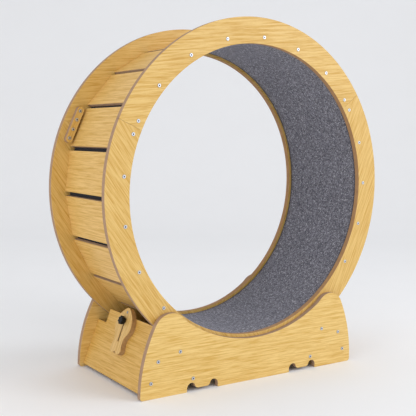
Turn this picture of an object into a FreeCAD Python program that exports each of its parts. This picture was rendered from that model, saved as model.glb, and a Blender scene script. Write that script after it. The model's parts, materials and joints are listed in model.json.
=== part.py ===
import FreeCAD, Part
import math
import os

from FreeCAD import Placement, Rotation, Vector

# Cat exercise wheel: a large open wheel of faced board that turns on four flanged rollers in a
# low stand.  Two rings, each joined from three boards, carry flat slats with a felt running
# surface inside.  A fish-shaped latch slides on the left end of the stand and is pushed up
# against the slats as a brake.
#
# Frame: Z is up and the floor is Z = 0.  The wheel's axis runs along Y above the origin, and
# the front of the wheel faces -Y.  Lengths are millimetres.  Angles are degrees, measured
# about the wheel's axis from +X towards +Z, which is anticlockwise seen from the front.

# ---------------------------------------------------------------- driving dimensions: wheel
RIM_R = 500.0               # outer radius of the rings
RING_BAND = 74.5            # radial width of a ring
RING_T = 16.0               # thickness of the ring boards
TREAD_WIDTH = 322.0         # length of a slat, between the inner faces of the rings
RIM_LIFT = 63.0             # lowest point of the rings above the floor
SEGMENTS = 3                # boards joined end to end in one ring
FIRST_JOINT = 36.65         # angle of the first butt joint
JOINT_GAP = 0.4             # hairline between two ring boards

SLATS_PER_SEGMENT = 7
SLAT_GAP = 10.64            # between the inner edges of neighbouring slats
SLAT_T = 10.0
SLAT_INSET = 55.0           # rim to the middle of a slat's thickness
JOINT_SCREW_OFFSET = 19.0   # screws each side of a joint, along the slat's width

FELT_T = 3.0
FELT_GLUE = 0.3             # glue line between the felt and the slats
FELT_END_GAP = 0.5          # felt's edge to the ring

PLATE_LENGTH = 114.0        # splice plate that bridges a joint on the ring's inner face
PLATE_WIDTH = 21.0
PLATE_T = 16.0
PLATE_SLAT_GAP = 8.0        # slat to splice plate
PLATE_SCREW_JOINT = 15.5    # joint to the nearer screws
PLATE_SCREW_END = 13.5      # end of the plate to the outer screws

# ---------------------------------------------------------------- driving dimensions: stand
PANEL_T = 16.0              # thickness of the stand's boards
PANEL_GAP = 2.5             # ring's outer face to the side panel
STAND_HALF = 396.0          # half the length of a side panel, at the floor
FOOT_CORNER_R = 8.0
SADDLE_LAP = 66.0           # height of the rings that the side panels hide, below the axis
CROWN_R = 55.0              # rounded shoulder
CROWN_INSET = 96.5          # end of the foot to the middle of the shoulder's round
CROWN_LAP = 2.4             # how far the shoulder's round reaches inside the hollow's circle
BLEND_R = 60.0              # blend from the shoulder into the hollow

NOTCH_INSET = 206.5         # end of the foot to the middle of a foot notch
NOTCH_HALF = 53.5
NOTCH_ARCH_X = 38.0         # middle of the notch to the top of an arch
NOTCH_ARCH_TOP = 26.0
NOTCH_ARCH_R = 12.0         # inner side of an arch
NOTCH_ARCH_SWEEP = 75.0
NOTCH_TOE = 8.5             # height of the flat toe between the arches

END_LEAN = 21.0             # lean of the end panels, inwards at the top
END_INSET = 16.3            # end of the foot to the middle of an end panel, at the floor
END_LIFT = 8.0              # up the slope from the floor to the panel's lower edge
SHOULDER_CLEAR = 28.86      # shoulders of an end panel to the rims
TONGUE_CLEAR = 33.53        # top of the tongue to the passing slats
TONGUE_SIDE_CLEAR = 18.0    # sides of the tongue to the splice plates
END_SCREW_LOW = 39.8        # lower edge of an end panel to its lower screws
END_SCREW_HIGH = 42.7       # shoulders of an end panel to its upper screws

RAIL_INSET = 173.0          # end of the foot to the middle of a cross rail
RAIL_Z = 38.0
RAIL_WIDTH = 60.0

# -------------------------------------------------------------- driving dimensions: rollers
AXLE_INSET = 128.0          # end of the foot to an axle
ROLLER_R = 15.7
ROLLER_RUN = 0.3            # rim to roller at rest
ROLLER_PANEL_GAP = 1.2      # roller to side panel
FLANGE_RISE = 3.8           # how far the flange stands out from the roller
FLANGE_T = 2.5
FLANGE_RUN = 0.4            # flange to the ring's inner face
ROLLER_LIP = 1.0            # how far the shoulder behind the bearing reaches in
ROLLER_EDGE = 0.6           # chamfer on the roller's edges

BEARING_R = 9.5             # 19 mm ball bearing with a 6 mm bore
BEARING_W = 6.0
BEARING_OUTER_BORE = 7.3
BEARING_INNER_R = 5.1
BEARING_SHIELD_T = 0.5
BEARING_RUN = 0.08          # shield to inner ring
BALLS = 7
BALL_R = 1.7
BALL_RUN = 0.05

AXLE_R = 3.0
AXLE_TIP = 1.0              # how far the bolt stands out of its nut
SPACER_R = 4.2
NUT_AF = 10.0
NUT_T = 5.0

# ------------------------------------------------------------ driving dimensions: fasteners
HEAD_R = 5.25               # button head
HEAD_SINK = 2.2             # counterbore depth
HEAD_PROUD = 1.0
HEAD_EDGE = 0.7
SOCKET_AF = 4.0
SOCKET_DEPTH = 1.8
SCREW_R = 2.5
SCREW_LENGTH = 50.0         # board face to tip
PLATE_SCREW_COVER = 4.0     # wood left in front of a plate screw's tip
SCREW_TIP = 4.0
HEAD_CLEAR = 0.15           # radial clearance of a head in its counterbore
SHANK_CLEAR = 0.1           # radial clearance of a shank in its hole
PILOT_SPARE = 2.0           # depth of a pilot hole past the tip

# ---------------------------------------------------------------- driving dimensions: latch
LATCH_LENGTH = 138.0        # the fish from its nose to the lobes of its tail
LATCH_T = 16.0
LATCH_RUN = 0.3             # latch to panel, and knob to latch
# Half outline of the fish: (half width, distance from the nose) on its head and body, then
# (half width, height above the tail's lobes) on its tail.
LATCH_BODY = ((19.5, 9.5), (34.5, 24.5), (42.5, 42.0), (44.5, 57.0), (40.5, 70.0))
LATCH_TAIL = ((29.0, 52.0), (25.0, 38.0), (27.0, 25.0), (30.5, 11.0))
LATCH_LOBE_X = 18.5         # lowest point of a tail lobe
LATCH_FORK = (8.0, 1.0)     # edge of the fork in the tail
LATCH_FORK_TOP = 6.5
SLOT_CLEAR = 0.5            # slot's side to the stud
SLOT_LOW = 38.5             # lower end of the slot's centre line, above the tail
SLOT_END_CLEAR = 0.5        # stud to the slot's upper end, along the centre line
EYE_R = 4.0
EYE_INSET = 13.5            # nose to the eye
EYE_DEPTH = 10.0
EYE_PROUD = 0.4

STUD_R = 3.0
STUD_DROP = 16.0            # top of the tongue to the stud
STUD_BELOW_NOSE = 40.0      # nose to the stud, latch lowered
STUD_HEAD_R = 8.0
STUD_HEAD_T = 3.0
STUD_NECK_RISE = 0.3        # each side of the square neck past the shank, to stop it turning
STUD_NECK_DEPTH = 4.0
STUD_IN_KNOB = 12.0
STUD_RUN = 0.05             # stud in the knob
KNOB_HUB_R = 7.0
KNOB_HUB_T = 4.0
KNOB_T = 12.0
KNOB_CORE_R = 10.6
KNOB_LOBES = 7
KNOB_LOBE_R = 3.2
KNOB_LOBE_AT = 9.8
KNOB_EDGE = 1.2
LATCH_STOP = 0.5            # clearance left between the raised nose and the passing slats

# --------------------------------------------------------------------------- derived sizes
AXIS_HEIGHT = RIM_LIFT + RIM_R
RING_INNER_R = RIM_R - RING_BAND
SLATS = SEGMENTS * SLATS_PER_SEGMENT
SLAT_PITCH = 360.0 / SLATS
SLAT_R = RIM_R - SLAT_INSET
SLAT_INNER_R = SLAT_R - SLAT_T / 2
SLAT_WIDTH = 2 * SLAT_INNER_R * math.tan(math.radians(SLAT_PITCH / 2)) - SLAT_GAP
SLAT_SWEPT_R = math.hypot(SLAT_R + SLAT_T / 2, SLAT_WIDTH / 2)
PLATE_R = SLAT_R + SLAT_T / 2 + PLATE_SLAT_GAP + PLATE_WIDTH / 2
PLATE_SCREWS = (PLATE_SCREW_JOINT, PLATE_LENGTH / 2 - PLATE_SCREW_END)
PLATE_SCREW_LENGTH = PLATE_T + RING_T - PLATE_SCREW_COVER
RING_IN_Y = TREAD_WIDTH / 2
RING_OUT_Y = RING_IN_Y + RING_T
PANEL_IN_Y = RING_OUT_Y + PANEL_GAP
PANEL_OUT_Y = PANEL_IN_Y + PANEL_T
SADDLE_R = RIM_R - SADDLE_LAP
NOTCH_X = STAND_HALF - NOTCH_INSET
RAIL_X = STAND_HALF - RAIL_INSET
AXLE_X = STAND_HALF - AXLE_INSET
AXLE_Z = AXIS_HEIGHT - math.sqrt((RIM_R + ROLLER_RUN + ROLLER_R) ** 2 - AXLE_X ** 2)
FLANGE_R = ROLLER_R + FLANGE_RISE
BEARING_IN = PANEL_GAP + (RING_T - BEARING_W) / 2   # side panel's inner face to the bearing
BEARING_PITCH_R = (BEARING_OUTER_BORE + BEARING_INNER_R) / 2
AXLE_LENGTH = PANEL_T + BEARING_IN + BEARING_W + NUT_T + AXLE_TIP
LATCH_BACK = PANEL_T / 2 + LATCH_RUN                # from the end panel's middle plane
LATCH_FACE = LATCH_BACK + LATCH_T
KNOB_BASE = LATCH_FACE + LATCH_RUN
STUD_IN_LATCH = LATCH_LENGTH - STUD_BELOW_NOSE
SLOT_HIGH = STUD_IN_LATCH + SLOT_END_CLEAR
SLOT_HALF = STUD_R + SLOT_CLEAR
STUD_NECK = 2 * (STUD_R + STUD_NECK_RISE)

UP = Vector(0, 0, 1)
FRONT = Vector(0, -1, 0)
REAR = Vector(0, 1, 0)


def slope_reach(offset, radius):
    """How far up an end panel's slope a line at an offset from its middle plane comes within
    a radius of the wheel's axis."""
    lean = math.radians(END_LEAN)
    across = END_INSET - STAND_HALF - offset * math.cos(lean)
    below = AXIS_HEIGHT - offset * math.sin(lean)
    towards = below * math.cos(lean) - across * math.sin(lean)
    return towards - math.sqrt(towards ** 2 - (across ** 2 + below ** 2 - radius ** 2))


END_SHOULDER = slope_reach(-PANEL_T / 2, RIM_R + SHOULDER_CLEAR)
END_TONGUE = slope_reach(-PANEL_T / 2, SLAT_SWEPT_R + TONGUE_CLEAR)
END_TONGUE_HALF = RING_IN_Y - PLATE_T - TONGUE_SIDE_CLEAR
LATCH_STUD = END_TONGUE - STUD_DROP
LATCH_LOW = LATCH_STUD - STUD_IN_LATCH              # the lowered latch's tail, up the slope


# ------------------------------------------------------------------------- common geometry
def wheel_point(radius, angle, y=0.0):
    """A point on the wheel at a radius and an angle."""
    a = math.radians(angle)
    return Vector(radius * math.cos(a), y, AXIS_HEIGHT + radius * math.sin(a))


def turned(shape, angle):
    """A copy of a shape that was built at angle 0, carried round the wheel's axis."""
    copy = shape.copy()
    copy.rotate(Vector(0, 0, AXIS_HEIGHT), REAR, -angle)
    return copy


def line(start, end):
    return Part.LineSegment(start, end).toShape()


def arc(start, middle, end):
    return Part.Arc(start, middle, end).toShape()


def arc_about(centre, start, end):
    """The shorter arc from start to end round a centre."""
    middle = (start - centre) + (end - centre)
    middle.normalize()
    return arc(start, centre + middle * start.distanceToPoint(centre), end)


def board(edges, thickness_vector):
    """A flat board cut to a closed outline."""
    return Part.Face(Part.Wire(edges)).extrude(thickness_vector)


def tube(outer_r, inner_r, length):
    """A tube that stands on the origin, along +Z."""
    return Part.makeCylinder(outer_r, length).cut(Part.makeCylinder(inner_r, length))


def hexagon(across_flats, height):
    """A hexagonal prism that stands on the origin, along +Z."""
    corner_r = across_flats / math.sqrt(3)
    corners = [Vector(corner_r * math.cos(math.radians(60 * i)),
                      corner_r * math.sin(math.radians(60 * i)), 0) for i in range(7)]
    return Part.Face(Part.makePolygon(corners)).extrude(Vector(0, 0, height))


def stood(shape, point, outward):
    """A copy of a shape built along +Z, moved to a point and turned to face outward."""
    copy = shape.copy()
    copy.Placement = Placement(point, Rotation(UP, outward)).multiply(shape.Placement)
    return copy


def circles_meet(centre_a, radius_a, centre_b, radius_b):
    """Where two circles in the XZ plane cross, on the left of the way from a to b."""
    way = centre_b - centre_a
    gap = way.Length
    along = (gap ** 2 + radius_a ** 2 - radius_b ** 2) / (2 * gap)
    aside = math.sqrt(radius_a ** 2 - along ** 2)
    way.normalize()
    left = Vector(-way.z, 0, way.x)
    return centre_a + way * along + left * aside


# ------------------------------------------------------------------------------- fasteners
def socket_screw(length, shank_r=SCREW_R, tip=SCREW_TIP):
    """A button-head screw along -Z, with the board's face at Z = 0."""
    head = Part.makeCylinder(HEAD_R, HEAD_SINK + HEAD_PROUD, Vector(0, 0, -HEAD_SINK))
    rim = [edge for edge in head.Edges if abs(edge.BoundBox.ZMin - HEAD_PROUD) < 1e-6
           and isinstance(edge.Curve, Part.Circle)]
    head = head.makeFillet(HEAD_EDGE, rim)
    socket = hexagon(SOCKET_AF, SOCKET_DEPTH + HEAD_PROUD)
    socket.translate(Vector(0, 0, HEAD_PROUD - SOCKET_DEPTH))
    shank = Part.makeCylinder(shank_r, length - tip - HEAD_SINK, Vector(0, 0, tip - length))
    screw = head.fuse(shank).cut(socket)
    if tip > 0:
        point = Part.makeCone(0, shank_r, tip, Vector(0, 0, -length))
        screw = screw.fuse(point)
    return screw.removeSplitter()


def screw_hole(length, shank_r=SCREW_R):
    """The counterbore and pilot hole that a screw of this length needs."""
    head = Part.makeCylinder(HEAD_R + HEAD_CLEAR, HEAD_SINK + HEAD_PROUD,
                             Vector(0, 0, -HEAD_SINK))
    depth = length + PILOT_SPARE
    shank = Part.makeCylinder(shank_r + SHANK_CLEAR, depth, Vector(0, 0, -depth))
    return head.fuse(shank)


def ring_screw_points(outward):
    """Screws through a ring into the slats: one in each slat, and two in a slat at a joint."""
    y = RING_OUT_Y * outward.y
    points = []
    for i in range(SLATS):
        for offset in slat_screw_offsets(i):
            point = Vector(SLAT_R, y, AXIS_HEIGHT + offset)
            points.append(turned(Part.Vertex(point), FIRST_JOINT + i * SLAT_PITCH).Point)
    return points


def slat_screw_offsets(index):
    """Places of a slat's screws along its width."""
    if index % SLATS_PER_SEGMENT == 0:
        return (-JOINT_SCREW_OFFSET, JOINT_SCREW_OFFSET)
    return (0.0,)


def plate_screw_points(joint, outward):
    """Screws through one splice plate, whose free face lies away from the ring."""
    y = (RING_IN_Y - PLATE_T) * outward.y
    points = []
    for offset in [sign * place for place in PLATE_SCREWS for sign in (-1, 1)]:
        point = Vector(PLATE_R, y, AXIS_HEIGHT + offset)
        points.append(turned(Part.Vertex(point), joint).Point)
    return points


def side_screw_points():
    """Screws through one side panel into the end panels and the cross rails, as (x, z)."""
    lean = math.radians(END_LEAN)
    foot_x = STAND_HALF - END_INSET
    places = [(foot_x - s * math.sin(lean), s * math.cos(lean))
              for s in (END_LIFT + END_SCREW_LOW, END_SHOULDER - END_SCREW_HIGH)]
    places.append((RAIL_X, RAIL_Z))
    return [(side * x, z) for x, z in places for side in (-1, 1)]


def axle_points():
    return [(side * AXLE_X, AXLE_Z) for side in (-1, 1)]


def joint_angles():
    return [FIRST_JOINT + 360.0 / SEGMENTS * k for k in range(SEGMENTS)]


# ----------------------------------------------------------------------------------- wheel
def ring_segment(index, outward):
    """One board of a ring, between two butt joints, bored for its screws."""
    trim = math.degrees(JOINT_GAP / 2 / (RIM_R - RING_BAND / 2))
    start = FIRST_JOINT + 360.0 / SEGMENTS * index + trim
    end = FIRST_JOINT + 360.0 / SEGMENTS * (index + 1) - trim
    middle = (start + end) / 2
    y = RING_IN_Y if outward.y > 0 else -RING_OUT_Y
    outer = [wheel_point(RIM_R, angle, y) for angle in (start, middle, end)]
    inner = [wheel_point(RING_INNER_R, angle, y) for angle in (end, middle, start)]
    segment = board([arc(*outer), line(outer[2], inner[0]), arc(*inner), line(inner[2], outer[0])],
                    Vector(0, RING_T, 0))
    hole = screw_hole(SCREW_LENGTH)
    tools = [stood(hole, point, outward) for point in ring_screw_points(outward)]
    pilot = screw_hole(PLATE_SCREW_LENGTH)
    for joint in joint_angles():
        tools += [stood(pilot, point, -outward) for point in plate_screw_points(joint, outward)]
    return segment.cut(Part.makeCompound(tools))


def slat(index):
    """One flat board of the drum, screwed between the rings."""
    plank = Part.makeBox(SLAT_T, TREAD_WIDTH, SLAT_WIDTH,
                         Vector(SLAT_INNER_R, -RING_IN_Y, AXIS_HEIGHT - SLAT_WIDTH / 2))
    hole = screw_hole(SCREW_LENGTH)
    for offset in slat_screw_offsets(index):
        for outward in (FRONT, REAR):
            point = Vector(SLAT_R, RING_OUT_Y * outward.y, AXIS_HEIGHT + offset)
            plank = plank.cut(stood(hole, point, outward))
    return turned(plank, FIRST_JOINT + index * SLAT_PITCH)


def felt_liner():
    """The felt running surface, glued inside the slats."""
    felt_r = SLAT_INNER_R - FELT_GLUE
    length = TREAD_WIDTH - 2 * FELT_END_GAP
    liner = tube(felt_r, felt_r - FELT_T, length)
    return stood(liner, Vector(0, -length / 2, AXIS_HEIGHT), REAR)


def splice_plate(joint, outward):
    """A straight bar with round ends that holds two ring boards together."""
    reach = PLATE_LENGTH / 2 - PLATE_WIDTH / 2
    low = PLATE_R - PLATE_WIDTH / 2
    high = PLATE_R + PLATE_WIDTH / 2
    y = RING_IN_Y - PLATE_T if outward.y > 0 else -RING_IN_Y
    corner = {}
    for name, x, z in (("low", low, -reach), ("high", high, -reach),
                       ("far_high", high, reach), ("far_low", low, reach)):
        corner[name] = Vector(x, y, AXIS_HEIGHT + z)
    near_end = Vector(PLATE_R, y, AXIS_HEIGHT - PLATE_LENGTH / 2)
    far_end = Vector(PLATE_R, y, AXIS_HEIGHT + PLATE_LENGTH / 2)
    plate = board([arc(corner["low"], near_end, corner["high"]),
                   line(corner["high"], corner["far_high"]),
                   arc(corner["far_high"], far_end, corner["far_low"]),
                   line(corner["far_low"], corner["low"])], Vector(0, PLATE_T, 0))
    plate = turned(plate, joint)
    hole = screw_hole(PLATE_SCREW_LENGTH)
    for point in plate_screw_points(joint, outward):
        plate = plate.cut(stood(hole, point, -outward))
    return plate


def ring_screws():
    screw = socket_screw(SCREW_LENGTH)
    return [stood(screw, point, outward) for outward in (FRONT, REAR)
            for point in ring_screw_points(outward)]


def splice_screws():
    screw = socket_screw(PLATE_SCREW_LENGTH)
    return [stood(screw, point, -outward) for outward in (FRONT, REAR)
            for joint in joint_angles() for point in plate_screw_points(joint, outward)]


# ----------------------------------------------------------------------------------- stand
def half_stand_outline():
    """The right half of a side panel's outline, from the middle of the floor edge to the
    middle of the hollow: (kind, points) for each line or arc, in the XZ plane."""
    foot_centre = Vector(STAND_HALF - FOOT_CORNER_R, 0, FOOT_CORNER_R)
    crown_x = STAND_HALF - CROWN_INSET
    crown_drop = math.sqrt((SADDLE_R + CROWN_R - CROWN_LAP) ** 2 - crown_x ** 2)
    crown_centre = Vector(crown_x, 0, AXIS_HEIGHT - crown_drop)
    crown_rise = crown_centre.z - FOOT_CORNER_R
    # The panel's outer edge is an arc, upright at the foot and tangent to the shoulder.
    side_r = (CROWN_R ** 2 - crown_rise ** 2 - CROWN_INSET ** 2) / (2 * (CROWN_R - CROWN_INSET))
    side_centre = Vector(STAND_HALF - side_r, 0, FOOT_CORNER_R)
    saddle_centre = Vector(0, 0, AXIS_HEIGHT)
    blend_centre = circles_meet(crown_centre, CROWN_R + BLEND_R,
                                saddle_centre, SADDLE_R - BLEND_R)
    floor_middle = Vector(0, 0, 0)
    floor_end = foot_centre - Vector(0, 0, FOOT_CORNER_R)
    side_start = foot_centre + Vector(FOOT_CORNER_R, 0, 0)
    side_end = side_centre + (crown_centre - side_centre) * (side_r / (side_r - CROWN_R))
    crown_end = crown_centre + (blend_centre - crown_centre) * (CROWN_R / (CROWN_R + BLEND_R))
    saddle_start = saddle_centre + (blend_centre - saddle_centre) * (
        SADDLE_R / (SADDLE_R - BLEND_R))
    saddle_middle = saddle_centre - Vector(0, 0, SADDLE_R)
    crown_top = crown_centre + Vector(0, 0, CROWN_R)
    return [(floor_middle, floor_end, None),
            (floor_end, side_start, foot_centre),
            (side_start, side_end, side_centre),
            (side_end, crown_top, crown_centre),
            (crown_top, crown_end, crown_centre),
            (crown_end, saddle_start, blend_centre),
            (saddle_start, saddle_middle, saddle_centre)]


def side_blank():
    """A side panel before it is notched and bored, at Y = 0 and PANEL_T thick."""
    edges = []
    for flip in (1, -1):
        for start, end, centre in half_stand_outline():
            start = Vector(flip * start.x, 0, start.z)
            end = Vector(flip * end.x, 0, end.z)
            if centre is None:
                edges.append(line(start, end))
            else:
                edges.append(arc_about(Vector(flip * centre.x, 0, centre.z), start, end))
    return Part.Face(Part.Wire(Part.sortEdges(edges)[0])).extrude(Vector(0, PANEL_T, 0))


def foot_notch():
    """The notch under a side panel: two round arches with a flat toe between them."""
    sweep = math.radians(NOTCH_ARCH_SWEEP)
    outer_r = NOTCH_HALF - NOTCH_ARCH_X
    arch_centre = NOTCH_ARCH_TOP - NOTCH_ARCH_R
    turn = Vector(NOTCH_ARCH_X - NOTCH_ARCH_R * math.sin(sweep), 0,
                  arch_centre + NOTCH_ARCH_R * math.cos(sweep))
    toe_r = (turn.z - NOTCH_TOE) / (1 - math.cos(sweep))
    toe = Vector(turn.x - toe_r * math.sin(sweep), 0, NOTCH_TOE)
    below = -PANEL_T
    half = [(Vector(NOTCH_HALF, 0, below), Vector(NOTCH_HALF, 0, NOTCH_ARCH_TOP - outer_r), None),
            (Vector(NOTCH_HALF, 0, NOTCH_ARCH_TOP - outer_r), Vector(NOTCH_ARCH_X, 0, NOTCH_ARCH_TOP),
             Vector(NOTCH_ARCH_X, 0, NOTCH_ARCH_TOP - outer_r)),
            (Vector(NOTCH_ARCH_X, 0, NOTCH_ARCH_TOP), turn, Vector(NOTCH_ARCH_X, 0, arch_centre)),
            (turn, toe, Vector(toe.x, 0, NOTCH_TOE + toe_r))]
    edges = [line(Vector(toe.x, 0, NOTCH_TOE), Vector(-toe.x, 0, NOTCH_TOE)),
             line(Vector(NOTCH_HALF, 0, below), Vector(-NOTCH_HALF, 0, below))]
    for flip in (1, -1):
        for start, end, centre in half:
            start = Vector(flip * start.x, 0, start.z)
            end = Vector(flip * end.x, 0, end.z)
            if centre is None:
                edges.append(line(start, end))
            else:
                edges.append(arc_about(Vector(flip * centre.x, 0, centre.z), start, end))
    return Part.Face(Part.Wire(Part.sortEdges(edges)[0])).extrude(Vector(0, PANEL_T, 0))


def side_panel(outward):
    """A whole side panel, notched at the foot and bored for its screws and axles."""
    panel = side_blank()
    notch = foot_notch()
    for side in (-1, 1):
        cutter = notch.copy()
        cutter.translate(Vector(side * NOTCH_X, 0, 0))
        panel = panel.cut(cutter)
    panel.translate(Vector(0, PANEL_IN_Y if outward.y > 0 else -PANEL_OUT_Y, 0))
    face_y = PANEL_OUT_Y * outward.y
    hole = screw_hole(SCREW_LENGTH)
    for x, z in side_screw_points():
        panel = panel.cut(stood(hole, Vector(x, face_y, z), outward))
    axle_hole = screw_hole(AXLE_LENGTH, AXLE_R)
    for x, z in axle_points():
        panel = panel.cut(stood(axle_hole, Vector(x, face_y, z), outward))
    return panel


def end_placement(side):
    """The frame of an end panel: X across it, Y up its slope from the floor and Z outwards,
    with Z = 0 in the middle of its thickness.  side is -1 on the left and 1 on the right."""
    lean = math.radians(END_LEAN)
    across = Vector(0, side, 0)
    up_slope = Vector(-side * math.sin(lean), 0, math.cos(lean))
    outward = Vector(side * math.cos(lean), 0, math.sin(lean))
    return Placement(Vector(side * (STAND_HALF - END_INSET), 0, 0),
                     Rotation(across, up_slope, outward, "XYZ"))


def on_end(shape, side):
    """A copy of a shape drawn in the frame of an end panel, put in its place."""
    copy = shape.copy()
    copy.Placement = end_placement(side).multiply(shape.Placement)
    return copy


def end_panel(side, holds_latch):
    """A leaning end panel: shoulders under the rings and a tongue between them."""
    corners = [(-PANEL_IN_Y, END_LIFT), (PANEL_IN_Y, END_LIFT), (PANEL_IN_Y, END_SHOULDER),
               (END_TONGUE_HALF, END_SHOULDER), (END_TONGUE_HALF, END_TONGUE),
               (-END_TONGUE_HALF, END_TONGUE), (-END_TONGUE_HALF, END_SHOULDER),
               (-PANEL_IN_Y, END_SHOULDER), (-PANEL_IN_Y, END_LIFT)]
    outline = Part.makePolygon([Vector(x, y, -PANEL_T / 2) for x, y in corners])
    panel = Part.Face(outline).extrude(Vector(0, 0, PANEL_T))
    if holds_latch:
        panel = panel.cut(stud_hole())
    panel = on_end(panel, side)
    hole = screw_hole(SCREW_LENGTH)
    for x, z in side_screw_points():
        for outward in (FRONT, REAR):
            panel = panel.cut(stood(hole, Vector(x, PANEL_OUT_Y * outward.y, z), outward))
    return panel


def cross_rail(side):
    """A flat rail that ties the side panels together near the floor."""
    rail = Part.makeBox(RAIL_WIDTH, 2 * PANEL_IN_Y, PANEL_T,
                        Vector(side * RAIL_X - RAIL_WIDTH / 2, -PANEL_IN_Y, RAIL_Z - PANEL_T / 2))
    hole = screw_hole(SCREW_LENGTH)
    for outward in (FRONT, REAR):
        point = Vector(side * RAIL_X, PANEL_OUT_Y * outward.y, RAIL_Z)
        rail = rail.cut(stood(hole, point, outward))
    return rail


def panel_screws():
    screw = socket_screw(SCREW_LENGTH)
    return [stood(screw, Vector(x, PANEL_OUT_Y * outward.y, z), outward)
            for outward in (FRONT, REAR) for x, z in side_screw_points()]


# --------------------------------------------------------------------------------- rollers
def at_axles(shape):
    """Copies of a shape at the four axles.  It is drawn along +Z, which points inwards from
    the side panel's inner face."""
    return [stood(shape, Vector(x, PANEL_IN_Y * outward.y, z), -outward)
            for outward in (FRONT, REAR) for x, z in axle_points()]


def axle_bolts():
    bolt = socket_screw(AXLE_LENGTH, AXLE_R, 0)
    return [stood(bolt, Vector(x, PANEL_OUT_Y * outward.y, z), outward)
            for outward in (FRONT, REAR) for x, z in axle_points()]


def axle_spacer():
    """The sleeve between a side panel and its bearing."""
    return tube(SPACER_R, AXLE_R + SHANK_CLEAR, BEARING_IN)


def axle_nut():
    nut = hexagon(NUT_AF, NUT_T).cut(Part.makeCylinder(AXLE_R + SHANK_CLEAR, NUT_T))
    nut.translate(Vector(0, 0, BEARING_IN + BEARING_W))
    return nut


def ball_track():
    return Part.makeTorus(BEARING_PITCH_R, BALL_R + BALL_RUN,
                          Vector(0, 0, BEARING_IN + BEARING_W / 2))


def bearing_inner_ring():
    ring = tube(BEARING_INNER_R, AXLE_R + SHANK_CLEAR / 2, BEARING_W)
    ring.translate(Vector(0, 0, BEARING_IN))
    return ring.cut(ball_track())


def bearing_outer_ring():
    """The outer race with its two shields, which hide the balls."""
    race = tube(BEARING_R, BEARING_OUTER_BORE, BEARING_W)
    shield = tube(BEARING_OUTER_BORE + BEARING_SHIELD_T, BEARING_INNER_R + BEARING_RUN,
                  BEARING_SHIELD_T)
    far_shield = shield.copy()
    far_shield.translate(Vector(0, 0, BEARING_W - BEARING_SHIELD_T))
    ring = race.fuse([shield, far_shield]).removeSplitter()
    ring.translate(Vector(0, 0, BEARING_IN))
    return ring.cut(ball_track())


def bearing_balls():
    balls = []
    for i in range(BALLS):
        angle = 2 * math.pi * i / BALLS
        centre = Vector(BEARING_PITCH_R * math.cos(angle), BEARING_PITCH_R * math.sin(angle),
                        BEARING_IN + BEARING_W / 2)
        balls.append(Part.makeSphere(BALL_R, centre))
    return Part.makeCompound(balls)


def roller_wheel():
    """The nylon tyre of a roller, with a flange behind the ring and a seat for the bearing."""
    flange_start = PANEL_GAP + RING_T + FLANGE_RUN
    flange_end = flange_start + FLANGE_T
    seat_r = BEARING_R + SHANK_CLEAR / 2
    lip_r = seat_r - ROLLER_LIP
    profile = [(lip_r, ROLLER_PANEL_GAP),
               (ROLLER_R - ROLLER_EDGE, ROLLER_PANEL_GAP),
               (ROLLER_R, ROLLER_PANEL_GAP + ROLLER_EDGE),
               (ROLLER_R, flange_start),
               (FLANGE_R - ROLLER_EDGE, flange_start),
               (FLANGE_R, flange_start + ROLLER_EDGE),
               (FLANGE_R, flange_end - ROLLER_EDGE),
               (FLANGE_R - ROLLER_EDGE, flange_end),
               (seat_r, flange_end),
               (seat_r, BEARING_IN),
               (lip_r, BEARING_IN)]
    points = [Vector(r, 0, z) for r, z in profile + profile[:1]]
    return Part.Face(Part.makePolygon(points)).revolve(Vector(0, 0, 0), UP, 360)


# ----------------------------------------------------------------------------------- latch
def stud_hole():
    """The hole through the end panel, with the square recess for the stud's neck."""
    hole = Part.makeCylinder(STUD_R + SHANK_CLEAR, PANEL_T, Vector(0, LATCH_STUD, -PANEL_T / 2))
    side = STUD_NECK + 2 * SHANK_CLEAR
    neck = Part.makeBox(side, side, STUD_NECK_DEPTH,
                        Vector(-side / 2, LATCH_STUD - side / 2, -PANEL_T / 2))
    return hole.fuse(neck)


def latch_stud():
    """The carriage bolt that the latch slides on: domed head inside, thread outside."""
    back = -PANEL_T / 2
    dome_r = (STUD_HEAD_R ** 2 + STUD_HEAD_T ** 2) / (2 * STUD_HEAD_T)
    dome = Part.makeSphere(dome_r, Vector(0, LATCH_STUD, back - STUD_HEAD_T + dome_r))
    head = Part.makeCylinder(STUD_HEAD_R, STUD_HEAD_T,
                             Vector(0, LATCH_STUD, back - STUD_HEAD_T)).common(dome)
    neck = Part.makeBox(STUD_NECK, STUD_NECK, STUD_NECK_DEPTH,
                        Vector(-STUD_NECK / 2, LATCH_STUD - STUD_NECK / 2, back))
    shank = Part.makeCylinder(STUD_R, KNOB_BASE + STUD_IN_KNOB - back,
                              Vector(0, LATCH_STUD, back))
    return head.fuse([neck, shank]).removeSplitter()


def fish_outline(flip):
    """One side of the fish, from the nose down to the fork in its tail."""
    nose = Vector(0, LATCH_LENGTH, 0)
    body = [Vector(flip * x, LATCH_LENGTH - below, 0) for x, below in LATCH_BODY]
    tail = [Vector(flip * x, y, 0) for x, y in LATCH_TAIL]
    lobe = Vector(flip * LATCH_LOBE_X, 0, 0)
    fork = Vector(flip * LATCH_FORK[0], LATCH_FORK[1], 0)
    through = [nose] + body + tail + [lobe]
    side = Part.BSplineCurve()
    side.interpolate(Points=through, InitialTangent=Vector(flip, 0, 0),
                     FinalTangent=Vector(-flip, 0, 0))
    return [side.toShape(), line(lobe, fork), line(fork, Vector(0, LATCH_FORK_TOP, 0))]


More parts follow.
